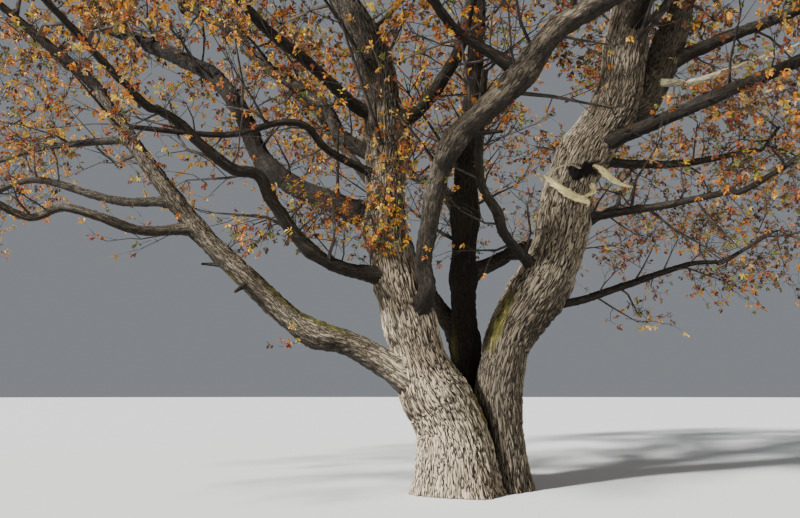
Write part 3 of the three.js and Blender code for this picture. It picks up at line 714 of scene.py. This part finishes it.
barkBoughs = [name for name in branches if name != "dead_limb"]
inner, right = barkBoughs.index("inner_leader"), barkBoughs.index("far_right_leader")
boughGroups = {
    "leftBoughsBark": barkBoughs[:inner], "innerBoughsBark": barkBoughs[inner:right],
    "rightBoughsBark": barkBoughs[right:],
}
for piece, names in boughGroups.items():
    members = [mesh for name, mesh in boughMeshes.items() if name.split("_snag")[0] in names]
    mesh = joinMeshes(piece, members)
    addPiece(piece, mesh, oakBark, [name + "_bough" for name in names], bark=True)
    print(piece, len(mesh.polygons), "faces")


# Dead and torn wood: grey and bare on the dead limb, pale and fibrous on the splinters.
woodLook = {
    "dead": (paint(176, 168, 134), paint(104, 95, 73)),
    "torn": (paint(226, 216, 160), paint(158, 140, 88)),
    "roughness": 0.85, "streaks": (2.2, 6), "blotches": (9, 3), "blotchShare": 0.3, "band": (0.42, 0.6),
    "bump": (0.006, 0.7),
}


def woodFinish(name, light, dark):  # long streaks that follow the wood
    material, start = newFinish(name)
    streaks = stored(start, "barkSpace", 1).noise(*woodLook["streaks"])
    blotches = objectPlace(start).noise(*woodLook["blotches"])
    share = woodLook["blotchShare"]
    colour = (streaks * (1 - share) + blotches * share).band(*woodLook["band"]).mix(dark, light)
    bump = bumped(streaks, *woodLook["bump"])
    closeFinish(start, {"Base Color": colour, "Normal": bump, "Roughness": woodLook["roughness"]})
    return material


deadWood = woodFinish("deadWood", *woodLook["dead"])
tornWood = woodFinish("tornWood", *woodLook["torn"])
# A bare twig arches over the hollow in the right stem.
limbs["dead_twig"] = Limb(
    [(1.24, -0.42, 5.26), (1.5, -0.52, 5.41), (1.76, -0.48, 5.5), (2.0, -0.3, 5.5)], [0.01, 0.018, 0.022])
deadMeshes = [boughMeshes["dead_limb"], limbSkin("dead_twig", firstSeeds["deadTwig"])]
addPiece("deadLimb", joinMeshes("deadLimb", deadMeshes), deadWood, ["dead_limb_bough"])

# Torn wood: ragged strips of pale sapwood about the hollow that a fallen limb left. Each has its points and
# its girths.
splinterLook = {
    "sides": 26, "ring": 0.012, "flatness": 0.5, "fray": 0.22, "grain": np.array([3, 3, 2.5]),
    "waves": [(1, 5, 9, 1), (1, 3, 31, 0), (0.6, 7, 67, 0)],
}
splinterStrips = {
    "splinterLow": ["torn_wood_low", [
        ([(2.08, -0.3, 4.8), (2.04, -0.46, 4.83), (1.8, -0.5, 4.91), (1.56, -0.5, 5.06),
          (1.29, -0.46, 5.31)],
         [0.03, 0.05, 0.075, 0.065, 0.055, 0.02]),
        ([(1.98, -0.42, 4.84), (2.02, -0.46, 4.93), (2.14, -0.46, 5.0), (2.2, -0.42, 5.16)],
         [0.04, 0.03, 0.045, 0.02]),
        ([(2.19, -0.44, 5.02), (2.14, -0.46, 5.12), (2.18, -0.4, 5.18)], [0.02, 0.05, 0.02]),
    ]],
    "splinterHigh": ["torn_wood_high", [
        ([(2.26, -0.2, 5.6), (2.32, -0.34, 5.49), (2.48, -0.36, 5.32), (2.64, -0.34, 5.21),
          (2.84, -0.32, 5.15), (3.05, -0.3, 5.14)],
         [0.03, 0.05, 0.07, 0.055, 0.03, 0.016, 0.008]),
    ]],
}


def splinterRule(limb, seed):
    def girthOf(turn, along):
        flat = 1 / np.sqrt(np.cos(turn) ** 2 + (np.sin(turn) / splinterLook["flatness"]) ** 2)
        long, cross, fine = [ripple([wave], turn, along, seed) for wave in splinterLook["waves"]]
        ragged = 1 + splinterLook["fray"] * (long * cross + fine)
        return limb.girth(along / limb.length) * flat * ragged

    return girthOf


for piece, (node, strips) in splinterStrips.items():
    meshes = []
    for seed, (points, girths) in enumerate(strips):
        limb = Limb(points, girths)
        rule = splinterRule(limb, seed)
        mesh, turn, along, _ = rolledSkin(piece, limb, rule, splinterLook["sides"], splinterLook["ring"])
        space = np.stack([np.cos(turn), np.sin(turn), along], axis=1)
        mark(mesh, "barkSpace", space * splinterLook["grain"])
        closeSkin(mesh)
        meshes.append(mesh)
    addPiece(piece, joinMeshes(piece, meshes), tornWood, [node])
print("dead and torn wood made")


# Foliage: each mass is a stem, twigs that grow one by one to targets in the mass's own space, shoots on the
# twigs and sprays of leaves on the shoots. The first twigs are the main ones, spread through the mass. A few
# more share out the space between them, and the fine ones gather in a clump about the end of each.
foliage = {
    "crownFlatness": 0.8, "massClearance": 0.06,
    "stemKnots": [0.4, 0.55, 0.7, 0.85, 0.96], "twigKnots": [0.3, 0.6, 1.0],
    "spread": [0.8191725134, 0.6710436067, 0.5497004779],
    "mainTwigs": 8, "mainReach": (0.35, 0.7), "nextTwigs": 20, "nextReach": (0.3, 0.92), "clumpTwigs": 15,
    "clumpReach": 0.72, "clumpFlatness": 0.6,
    "mainGirth": (0.04, 0.025), "nextGirth": (0.014, 0.018), "fineGirth": (0.006, 0.015),
    "stemTip": 0.04, "stemTaper": 0.8, "stemSunk": 0.05, "bend": 0.12, "boxMargin": 0.1, "turnedBack": 0.7,
    "holdShare": 0.72, "tipShare": 0.4, "leastTip": 0.0045, "thirdShootFrom": 0.35,
    "draws": {"lines": 1000, "shoots": 5000, "clumps": 7000},  # how far apart the masses' draws are
}

hearts = []
for name, (lead, reach, fullness) in masses.items():
    tip, ahead, girth = limbs[name].at(1), limbs[name].heading(1), limbs[name].girths[-1]
    heart = tip + runVector(lead)
    points = [tip - foliage["stemSunk"] * ahead, tip + foliage["bend"] * reach * ahead, heart]
    girths = [girth, max(foliage["stemTaper"] * girth, foliage["stemTip"]), foliage["stemTip"]]
    own = {"name": name, "heart": heart, "reach": reach, "fullness": fullness}
    hearts.append({**own, "stem": Limb(points, girths)})
crownLow = np.array(cadBox[0]) + foliage["boxMargin"]
crownHigh = np.array(cadBox[1]) - foliage["boxMargin"]
heartPlaces = np.array([own["heart"] for own in hearts])
heartReaches = np.array([own["reach"] for own in hearts])


def reachValues(point):  # below nothing inside a mass's reach, for every mass
    away = point - heartPlaces
    away[:, 2] /= foliage["crownFlatness"]
    return (away**2).sum(axis=1) - heartReaches**2


def isInside(index, point):
    values = reachValues(point)
    if values[index] > 0:
        return False
    apart = lengths(heartPlaces - heartPlaces[index])
    apart[index] = 1
    margin = (values - values[index]) / (2 * apart)
    margin[index] = np.inf
    return bool((margin > foliage["massClearance"]).all())


def targetPoint(own, count, seed, reach):
    steps = enumerate(foliage["spread"])
    spread = [float((scatter(axis, seed) + (count + 1) * step) % 1) for axis, step in steps]
    height = 2 * spread[0] - 1
    level = math.sqrt(1 - height * height)
    turn = 2 * math.pi * spread[1]
    distance = own["reach"] * between(reach, spread[2] ** (1 / 3))
    way = np.array([level * math.cos(turn), level * math.sin(turn), height * foliage["crownFlatness"]])
    return own["heart"] + distance * way


twigBend = {"lean": 0.22, "wander": 0.3, "knots": 0.14}  # in shares of the twig's length


def bentLine(start, end, lean, draw):  # five points on a twig that leaves along lean and wanders
    length = lengths(end - start)
    sway = twigBend["lean"] * lean + twigBend["wander"] * looseWay(3 * draw, "middle")
    middle = (start + end) / 2 + length * sway
    t = np.linspace(0, 1, 5)[:, None]
    line = (1 - t) ** 2 * start + 2 * t * (1 - t) * middle + t**2 * end
    line[1:4] += twigBend["knots"] * length * looseWay(9 * draw + 3 * np.arange(3), "knots")
    return line


upright = np.array([0, 0, 1])
twigs = {"lines": [], "girths": []}
shoots = {"lines": [], "girths": []}


def addTwig(line, root, tip):  # four of its five points are enough for the mesh
    kept = np.array([0, 1, 3, 4])
    twigs["lines"].append(line[kept])
    twigs["girths"].append(between((root, tip), kept / 4))


# Limbs that the photo shows nearly bare, from one share of their length to another: few leaves grow between
# them and the viewer's eye.
eyePlace = np.array([-1.22, -10.8, 1.55])
bareLimbs = {
    "dead_limb": (0.05, 1), "right": (0.3, 0.85), "front_arm": (0.4, 0.9), "high_left": (0.15, 0.75),
    "low_left": (0.2, 0.7), "left": (0.55, 0.85), "back": (0.1, 0.5),
}
bareLook = {"knots": 40, "reach": 0.2, "kept": 0.3}
bareKnots, bareReaches = [], []
for name, (begin, end) in bareLimbs.items():
    shares = np.linspace(begin, end, bareLook["knots"])
    bareKnots.append(limbs[name].at(shares) - eyePlace)
    bareReaches.append(limbs[name].girth(shares) + bareLook["reach"])
bareKnots, bareReaches = np.concatenate(bareKnots), np.concatenate(bareReaches)
sightLengths = lengths(bareKnots)
sightWays = unit(bareKnots)


def hidesLimb(point):
    along = sightWays @ (point - eyePlace)
    off = lengths(point - eyePlace - along[:, None] * sightWays)
    return bool(((off < bareReaches) & (along < sightLengths)).any())


# A shoot is a short last twig that carries a spray of leaves.
shootLook = {"length": (0.14, 0.36), "splay": 1.5, "lift": 0.12, "girth": 0.0045}


def addShoot(start, way, draw, inFront=False):
    if not inFront and float(scatter(draw, "bare")) > bareLook["kept"] and hidesLimb(start):
        return
    lean = unit(way) + shootLook["splay"] * looseWay(3 * draw, "shootWay")
    lean = unit(lean + shootLook["lift"] * upright)
    length = between(shootLook["length"], float(scatter(draw, "shootLength")))
    shoots["lines"].append(np.array([start, start + lean * length]))
    shoots["girths"].append(np.array([1, 0]) * shootLook["girth"])


def inCrown(point):
    return bool((point > crownLow).all() and (point < crownHigh).all())


def growMass(index, own):
    seed = index + 1
    places, ways, holds = [
        [measure(share) for share in foliage["stemKnots"]]
        for measure in (own["stem"].at, own["stem"].heading, own["stem"].girth)
    ]
    framed = foliage["mainTwigs"] + foliage["nextTwigs"]
    clumps = []
    for count in range(framed + int(framed * foliage["clumpTwigs"] * own["fullness"])):
        main, fine = count < foliage["mainTwigs"], count >= framed
        if fine:
            draw = foliage["draws"]["clumps"] * seed + count
            off = unit(looseWay(3 * draw, "clumpWay")) * np.array([1, 1, foliage["clumpFlatness"]])
            off = off * foliage["clumpReach"] * float(scatter(draw, "clumpReach")) ** 0.5
            target = clumps[count % len(clumps)] + off
        else:
            target = targetPoint(own, count, seed, foliage["mainReach"] if main else foliage["nextReach"])
        if not isInside(index, target) or not inCrown(target):
            continue
        away = target - np.array(places)
        far = lengths(away)
        turnedBack = 1 - (unit(away) * np.array(ways)).sum(axis=1)
        best = int(np.argmin(far if main else far * (1 + foliage["turnedBack"] * turnedBack)))
        line = bentLine(places[best], target, ways[best], foliage["draws"]["lines"] * seed + count)
        girth = foliage["mainGirth" if main else "fineGirth" if fine else "nextGirth"]
        root = min(foliage["holdShare"] * holds[best], grown(girth, far[best]))
        tip = max(foliage["leastTip"], foliage["tipShare"] * root)
        addTwig(line, root, tip)
        for used in (places, ways, holds):
            used.pop(best)
        for share in foliage["twigKnots"]:
            place = min(int(share * 4), 3)
            step = line[place + 1] - line[place]
            places.append(line[place] + step * (share * 4 - place))
            ways.append(unit(step))
            holds.append(between((root, tip), share))
        if not fine:
            clumps.append(target)
        draw = foliage["draws"]["shoots"] * seed + 4 * count
        addShoot(line[4], line[4] - line[3], draw)
        if not main:
            addShoot(line[3], line[4] - line[2], draw + 1)
        if fine and far[best] > foliage["thirdShootFrom"]:
            addShoot(line[2], line[3] - line[1], draw + 2)


for index, own in enumerate(hearts):
    growMass(index, own)
print("masses grown:", len(twigs["lines"]), "twigs")


# Side branches stand along the boughs inside the crown, each with a few twigs of its own. A girth is given
# at the foot and per metre.
sideLook = {
    "from": {
        "low_left": 0.6, "left": 0.45, "right": 0.66, "back": 0.36, "front_arm": 0.34, "right_low": 0.2,
        "left_lower": 0.6, "left_middle": 0.7, "far_right_leader": 0.3, "right_front": 0.2,
        "high_left": 0.06,
    },
    "fromElse": 0.16, "spacing": 0.38, "shortest": 0.5, "longest": (1.1, 6.0), "evenness": 1.3,
    "ahead": 0.5, "lift": 0.3, "girth": (0.006, 0.019), "holdShare": 0.5, "tip": 0.0055,
    "twigs": (3, 2.2), "twigReach": (0.23, 0.69), "twigSplay": 1.7, "twigLift": 0.1,
    "twigGirth": (0.004, 0.006), "draws": (900, 7),
}
holders = [*barkBoughs, *stems]


def addSideBranch(start, end, out, girth, twigCount, draw, inFront=False):
    length = lengths(end - start)
    side = bentLine(start, end, out, draw)
    addTwig(side, min(sideLook["holdShare"] * girth, grown(sideLook["girth"], length)), sideLook["tip"])
    addShoot(side[4], side[4] - side[3], draw, inFront)
    for part in range(twigCount):
        place = min(1 + part * 4 // twigCount, 3)
        splay = sideLook["twigSplay"] * looseWay(3 * part + draw, "twigWay")
        lean = unit(unit(side[place + 1] - side[place]) + splay + sideLook["twigLift"] * upright)
        reach = length * between(sideLook["twigReach"], float(scatter(part + draw, "twigLength")))
        twig = bentLine(side[place], side[place] + lean * reach, lean, draw + part + 1)
        addTwig(twig, grown(sideLook["twigGirth"], reach), sideLook["twigGirth"][0])
        for knot in (2, 3, 4):
            addShoot(twig[knot], twig[knot] - twig[knot - 1], 3 * draw + 3 * part + knot, inFront)


for seed, name in enumerate(holders):
    limb = limbs[name]
    begin = sideLook["from"].get(name, sideLook["fromElse"])
    count = int(limb.length * (1 - begin) / sideLook["spacing"])
    for step in range(count):
        draw = sideLook["draws"][0] * (seed + 1) + sideLook["draws"][1] * step
        share = begin + (1 - begin) * (step + float(scatter(draw, "sidePlace"))) / count
        start, way, girth = limb.at(share), limb.heading(share), float(limb.girth(share))
        out = unit(np.cross(way, looseWay(draw, "sideWay"))) + sideLook["ahead"] * way
        out = unit(out + sideLook["lift"] * upright)
        longest = grown(sideLook["longest"], girth)
        chance = float(scatter(draw, "sideLength")) ** sideLook["evenness"]
        length = between((sideLook["shortest"], longest), chance)
        end = start + out * (girth + length)
        if inCrown(end):
            twigCount = int(grown(sideLook["twigs"], length))
            addSideBranch(start, end, out, girth, twigCount, draw)

# Tufts of leaves hang low on the left, in front of the stem and the long bough, and a few between the stems.
# Each grows from the nearest limb.
tufts = {
    "places": [
        (-3.83, -1.2, 3.92), (-3.37, -1, 4.24), (-2.86, -0.9, 4.1), (-2.45, -1, 4.58), (-2.13, -0.8, 4.12),
        (-1.69, -0.7, 3.91), (-1.47, -0.8, 4.66), (-1.3, -0.6, 4.14), (-2.9, -0.8, 4.74), (-1.29, -1, 5.92),
        (-1.22, -0.8, 5.28), (-1.14, -1.5, 7.48), (-1.9, -1, 4.35), (-1.35, -0.9, 4.5), (-1.6, -1.1, 5.0),
        (-2.6, -0.9, 4.35), (1.1, 0.4, 6.54), (0.64, 0.5, 6.9), (1.41, 0.6, 6.21),
    ],
    "smallPlaces": [(-2.83, -1, 2.34)],  # a few leaves under the low bough
    "size": (0.04, 8), "smallSize": (0.012, 2),  # girth at the foot, number of twigs
    "knots": (0.03, 0.97, 60), "draws": (60000, 50),
}
knots = np.concatenate([limbs[name].at(np.linspace(*tufts["knots"])) for name in holders])
for count, place in enumerate(np.array(tufts["places"] + tufts["smallPlaces"])):
    nearest = knots[np.argmin(lengths(knots - place))]
    girth, twigCount = tufts["size"] if count < len(tufts["places"]) else tufts["smallSize"]
    draw = grown(tufts["draws"], count)
    addSideBranch(nearest, place, unit(place - nearest), girth, twigCount, draw, inFront=True)
print("side branches added:", len(twigs["lines"]), "twigs and", len(shoots["lines"]), "shoots")


def rodMesh(name, lines, girths, sides=3, steep=0.9):  # many thin rods, each pointed at its tip
    ways = unit(np.gradient(lines, axis=1))[:, :-1]
    isLevel = np.abs(ways[..., 2:]) < steep
    sideways = unit(np.cross(ways, np.where(isLevel, (0.0, 0.0, 1.0), (1.0, 0.0, 0.0))))
    turns = 2 * math.pi * np.arange(sides) / sides
    ring = around(turns, sideways[:, :, None], np.cross(ways, sideways)[:, :, None])
    places = (lines[:, :-1, None] + girths[:, :-1, None, None] * ring).reshape(len(lines), -1, 3)
    places = np.concatenate([places, lines[:, -1:]], axis=1)
    index = np.arange(places[..., 0].size).reshape(places.shape[:2])
    rings, tips = index[:, :-1].reshape(len(lines), -1, sides), index[:, -1:]
    near, far, last = rings[:, :-1], rings[:, 1:], rings[:, -1]
    walls = np.stack([near, np.roll(near, -1, axis=2), np.roll(far, -1, axis=2), far], axis=-1)
    points = np.stack([last, np.roll(last, -1, axis=1), np.repeat(tips, sides, axis=1)], axis=-1)
    faces = walls.reshape(-1, 4).tolist() + points.reshape(-1, 3).tolist() + rings[:, 0, ::-1].tolist()
    print(name, sum(len(face) - 2 for face in faces), "triangles")
    mesh = bpy.data.meshes.new(name)
    mesh.from_pydata(places.reshape(-1, 3), [], faces)
    mesh.shade_smooth()
    return mesh


twigLook = {
    "colour": paint(62, 52, 43), "shade": paint(34, 28, 24), "roughness": 0.9, "noise": (7, 3),
    "band": (0.4, 0.6),
}


def twigFinish():
    material, start = newFinish("twigBark")
    mask = objectPlace(start).noise(*twigLook["noise"]).band(*twigLook["band"])
    colour = mask.mix(twigLook["shade"], twigLook["colour"])
    closeFinish(start, {"Base Color": colour, "Roughness": twigLook["roughness"]})
    return material


twigBark = twigFinish()
massNodes = [own["name"] + "_leaves" for own in hearts]
stemMeshes = []
for index, own in enumerate(hearts):
    name = own["name"] + "_stem"
    limbs[name] = own["stem"]
    stemMeshes.append(limbSkin(name, firstSeeds["massStems"] + index))
addPiece("massStemsBark", joinMeshes("massStemsBark", stemMeshes), oakBark, massNodes, bark=True)
for kind, rods in (("Twigs", twigs), ("Shoots", shoots)):
    lines, girths = np.array(rods["lines"]), np.array(rods["girths"])
    onLeft = lines[:, 0, 0] < 0
    for half, chosen in (("left", onLeft), ("right", ~onLeft)):
        mesh = rodMesh(half + kind, lines[chosen], girths[chosen])
        addPiece(half + kind, mesh, twigBark, massNodes)
print("twigs meshed")

# Leaves: one lobed shape and a plainer one far from the eye, folded and curled, laid in sprays. Tints are
# dealt out by spray.
leafLook = {
    "length": (0.048, 0.09), "perSpray": 7, "sprayLength": 0.09, "fold": 0.4, "curl": 0.25,
    "roughness": 0.62, "shine": 0.3, "turns": (2.4, 6.28), "tilt": (0.5, 1.4), "droop": 0.25, "faceUp": 0.7,
    "highFrom": 6.8, "highOver": 2, "highGain": 0.5,  # leaves high up are larger, so that the crown closes
    "lobed": [(0.17, 0.3), (0.12, 0.48), (0.27, 0.7)], "plain": [(0.17, 0.36), (0.24, 0.72)],
    "lobedUpTo": -2.5,  # along y
}
tints = {  # colour and how many of a hundred sprays have it
    "yellow": (paint(196, 164, 56), 10), "amber": (paint(190, 134, 42), 18),
    "orange": (paint(176, 106, 32), 16), "russet": (paint(124, 62, 28), 18),
    "tan": (paint(154, 122, 76), 12), "brown": (paint(80, 56, 34), 17), "olive": (paint(98, 100, 42), 9),
}
tintLean = {"over": (-2, 4), "powers": (1, 0.6)}  # from this x to that x sprays lean to the last tints


def leafTemplate(side):  # points of a leaf one metre long, and its two halves
    flat = [(0, 0), (0, 1)] + side + [(-x, y) for x, y in side]
    points = np.array([(x, y, leafLook["fold"] * abs(x) - leafLook["curl"] * y * y) for x, y in flat])
    right, left = range(2, 2 + len(side)), range(2 + len(side), 2 + 2 * len(side))
    return points, [(0, *right, 1), (0, 1, *reversed(left))]


def leafPlaces():  # for every leaf its root, axis, face, length and spray
    lines = np.array(shoots["lines"])
    tips, ways = lines[:, 1], unit(lines[:, 1] - lines[:, 0])
    count = leafLook["perSpray"]
    spray = np.repeat(np.arange(len(tips)), count)
    place = np.tile(np.arange(count), len(tips))
    draws = np.arange(len(spray))
    way = ways[spray]
    side = unit(np.cross(way, looseWay(3 * draws, "leafSide")))
    turn = leafLook["turns"][0] * place + leafLook["turns"][1] * scatter(spray, "leafTurn")
    tilt = between(leafLook["tilt"], scatter(draws, "leafTilt"))
    axis = unit(around(tilt, way, around(turn, side, np.cross(way, side))) - leafLook["droop"] * upright)
    skyward = leafLook["faceUp"] * upright + looseWay(3 * draws, "leafFace")
    face = unit(np.cross(np.cross(axis, skyward), axis))
    root = tips[spray] - way * (leafLook["sprayLength"] * place / count)[:, None]
    high = np.clip((root[:, 2] - leafLook["highFrom"]) / leafLook["highOver"], 0, 1)
    length = between(leafLook["length"], scatter(draws, "leafLength")) * (1 + leafLook["highGain"] * high)
    return root, axis, face, length, spray


def plainFinish(name, colour, roughness, shine):
    material, start = newFinish(name)
    closeFinish(start, {"Base Color": colour, "Roughness": roughness, "Specular IOR Level": shine})
    return material


root, axis, face, length, spray = leafPlaces()
isNear = root[:, 1] < leafLook["lobedUpTo"]
side = np.cross(axis, face)
powers = np.interp(np.array(shoots["lines"])[:, 0, 0], tintLean["over"], tintLean["powers"])
dealt = 100 * scatter(np.arange(len(powers)), "tint") ** powers
low = 0
for name, (colour, share) in tints.items():
    own = (dealt[spray] >= low) & (dealt[spray] < low + share)
    low += share
    places, made, shift = [], [], 0
    for shape, part in (("lobed", own & isNear), ("plain", own & ~isNear)):
        points, halves = leafTemplate(leafLook[shape])
        chosen = np.flatnonzero(part)
        frames = np.stack([side[chosen], axis[chosen], face[chosen]], axis=1)
        placed = root[chosen, None] + length[chosen, None, None] * (points @ frames)
        places.append(placed.reshape(-1, 3))
        shifts = (shift + np.arange(len(chosen)) * len(points))[:, None]
        for corners in halves:
            made += (np.array(corners) + shifts).tolist()
        shift += placed.size // 3
    mesh = bpy.data.meshes.new(name + "Leaves")
    mesh.from_pydata(np.concatenate(places), [], made)
    finish = plainFinish(name + "Leaf", colour, leafLook["roughness"], leafLook["shine"])
    addPiece(name + "Leaves", mesh, finish, massNodes)
    print(name, "leaves:", own.sum(), "triangles:", sum(len(corners) - 2 for corners in made))


# Studio: a plain pale floor, a soft key light from the front left, a faint fill and a pale surround.
studio = {
    "floor": 400, "floorEdges": 96, "floorLevel": -0.004, "floorColour": (0.72, 0.72, 0.7, 1),
    "floorRoughness": 0.95, "floorShine": 0.5, "surround": (0.84, 0.9, 0.97, 1), "surroundPower": 0.26,
}
bed = bmesh.new()
down = Matrix.Translation((0, 0, studio["floorLevel"]))
bmesh.ops.create_circle(
    bed, cap_ends=True, segments=studio["floorEdges"], radius=studio["floor"], matrix=down)
floorMesh = bpy.data.meshes.new("floor")
bed.to_mesh(floorMesh)
bed.free()
floorLook = (studio["floorColour"], studio["floorRoughness"], studio["floorShine"])
floorMesh.materials.append(plainFinish("floorFinish", *floorLook))
newObject("floor", floorMesh)

world = bpy.data.worlds.new("surround")
bpy.context.scene.world = world
world.use_nodes = True
world.node_tree.nodes["Background"].inputs["Color"].default_value = studio["surround"]
world.node_tree.nodes["Background"].inputs["Strength"].default_value = studio["surroundPower"]

lights = {
    "key": {"from": (-12, -9, 8.5), "power": 11.5, "softness": 4},
    "fill": {"from": (10, -9, 10), "power": 0.15, "softness": 60},
}
for name, light in lights.items():
    lamp = bpy.data.lights.new(name, "SUN")
    lamp.energy = light["power"]
    lamp.angle = math.radians(light["softness"])
    newObject(name, lamp).rotation_euler = Vector(light["from"]).to_track_quat("Z", "Y").to_euler()

# Camera: a standing person's eye, a wide lens tilted up a little.
eye = {"tilt": 12.3, "lens": 27.99, "farthest": 2000}
camera = newObject("camera", bpy.data.cameras.new("camera"))
camera.location = eyePlace
camera.rotation_euler = (math.radians(90 + eye["tilt"]), 0, 0)
camera.data.lens = eye["lens"]
camera.data.clip_end = eye["farthest"]
bpy.context.scene.camera = camera
